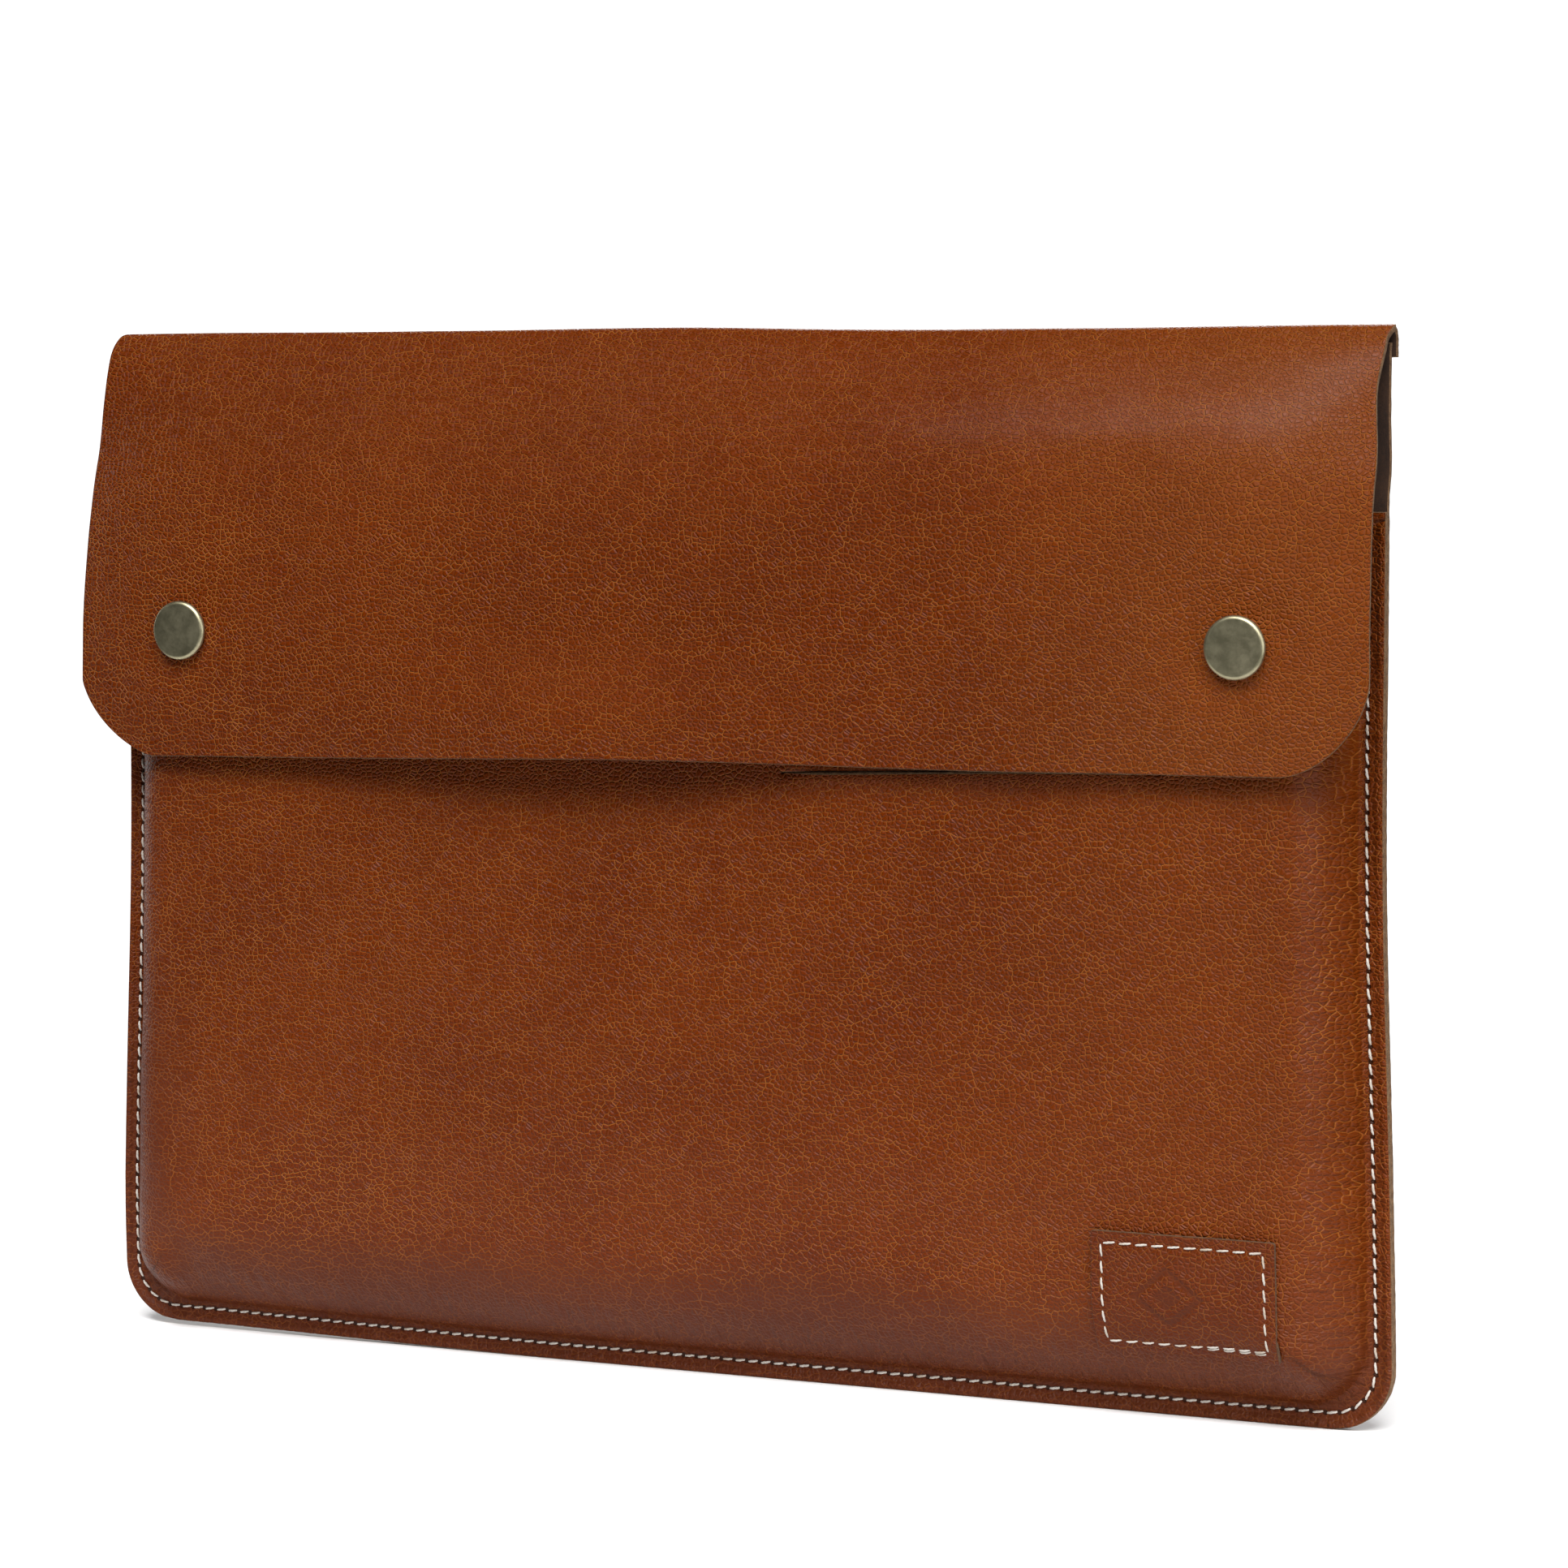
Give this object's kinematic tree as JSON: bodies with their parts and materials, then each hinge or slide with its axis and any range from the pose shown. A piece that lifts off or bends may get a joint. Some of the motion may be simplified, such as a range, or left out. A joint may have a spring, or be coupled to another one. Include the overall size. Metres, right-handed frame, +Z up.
{
  "type": "laptop sleeve",
  "caption": "Leather laptop sleeve: sewn open-topped envelope with a folded front flap held by press studs, a slit slip pocket and a small stitched patch",
  "frame": {"origin": "middle of the sleeve's width and depth, at its bottom edge", "axes": "+Z up, front face and flap towards -Y, +X to the right seen from the front"},
  "size_m": [0.35, 0.0308, 0.258],
  "materials": {
    "leather": "satin pebbled full grain",
    "patch_leather": "satin smooth grain",
    "lining": "matt cotton twill",
    "cap_brass": "antique, satin with brighter rim",
    "snap_brass": "antique satin",
    "spring_steel": "bright wire",
    "thread": "waxed thread"
  },
  "bodies": {
    "sleeve": {"back_panel": "leather", "front_panel": "leather", "flap_fold_strip": "leather", "name_patch": "patch_leather", "slip_pocket_bag": "lining", "left_snap_stud": "snap_brass", "left_snap_post": "snap_brass", "right_snap_stud": "snap_brass", "right_snap_post": "snap_brass", "body_seam_needle_thread": "thread", "body_seam_bobbin_thread": "thread", "flap_seam_needle_thread": "thread", "flap_seam_bobbin_thread": "thread", "pocket_needle_thread": "thread", "pocket_bobbin_thread": "thread", "patch_needle_thread": "thread", "patch_bobbin_thread": "thread"},
    "flap": {"flap": "leather", "left_snap_cap": "cap_brass", "left_snap_socket": "snap_brass", "left_snap_spring": "spring_steel", "right_snap_cap": "cap_brass", "right_snap_socket": "snap_brass", "right_snap_spring": "spring_steel"}
  },
  "joints": [
    {"name": "flap_fold", "type": "hinge", "parent": "sleeve", "child": "flap", "pos_m": [0, 0.01149, 0.2581], "axis": [-1, 0, 0], "range_deg": [0, 180]}
  ]
}
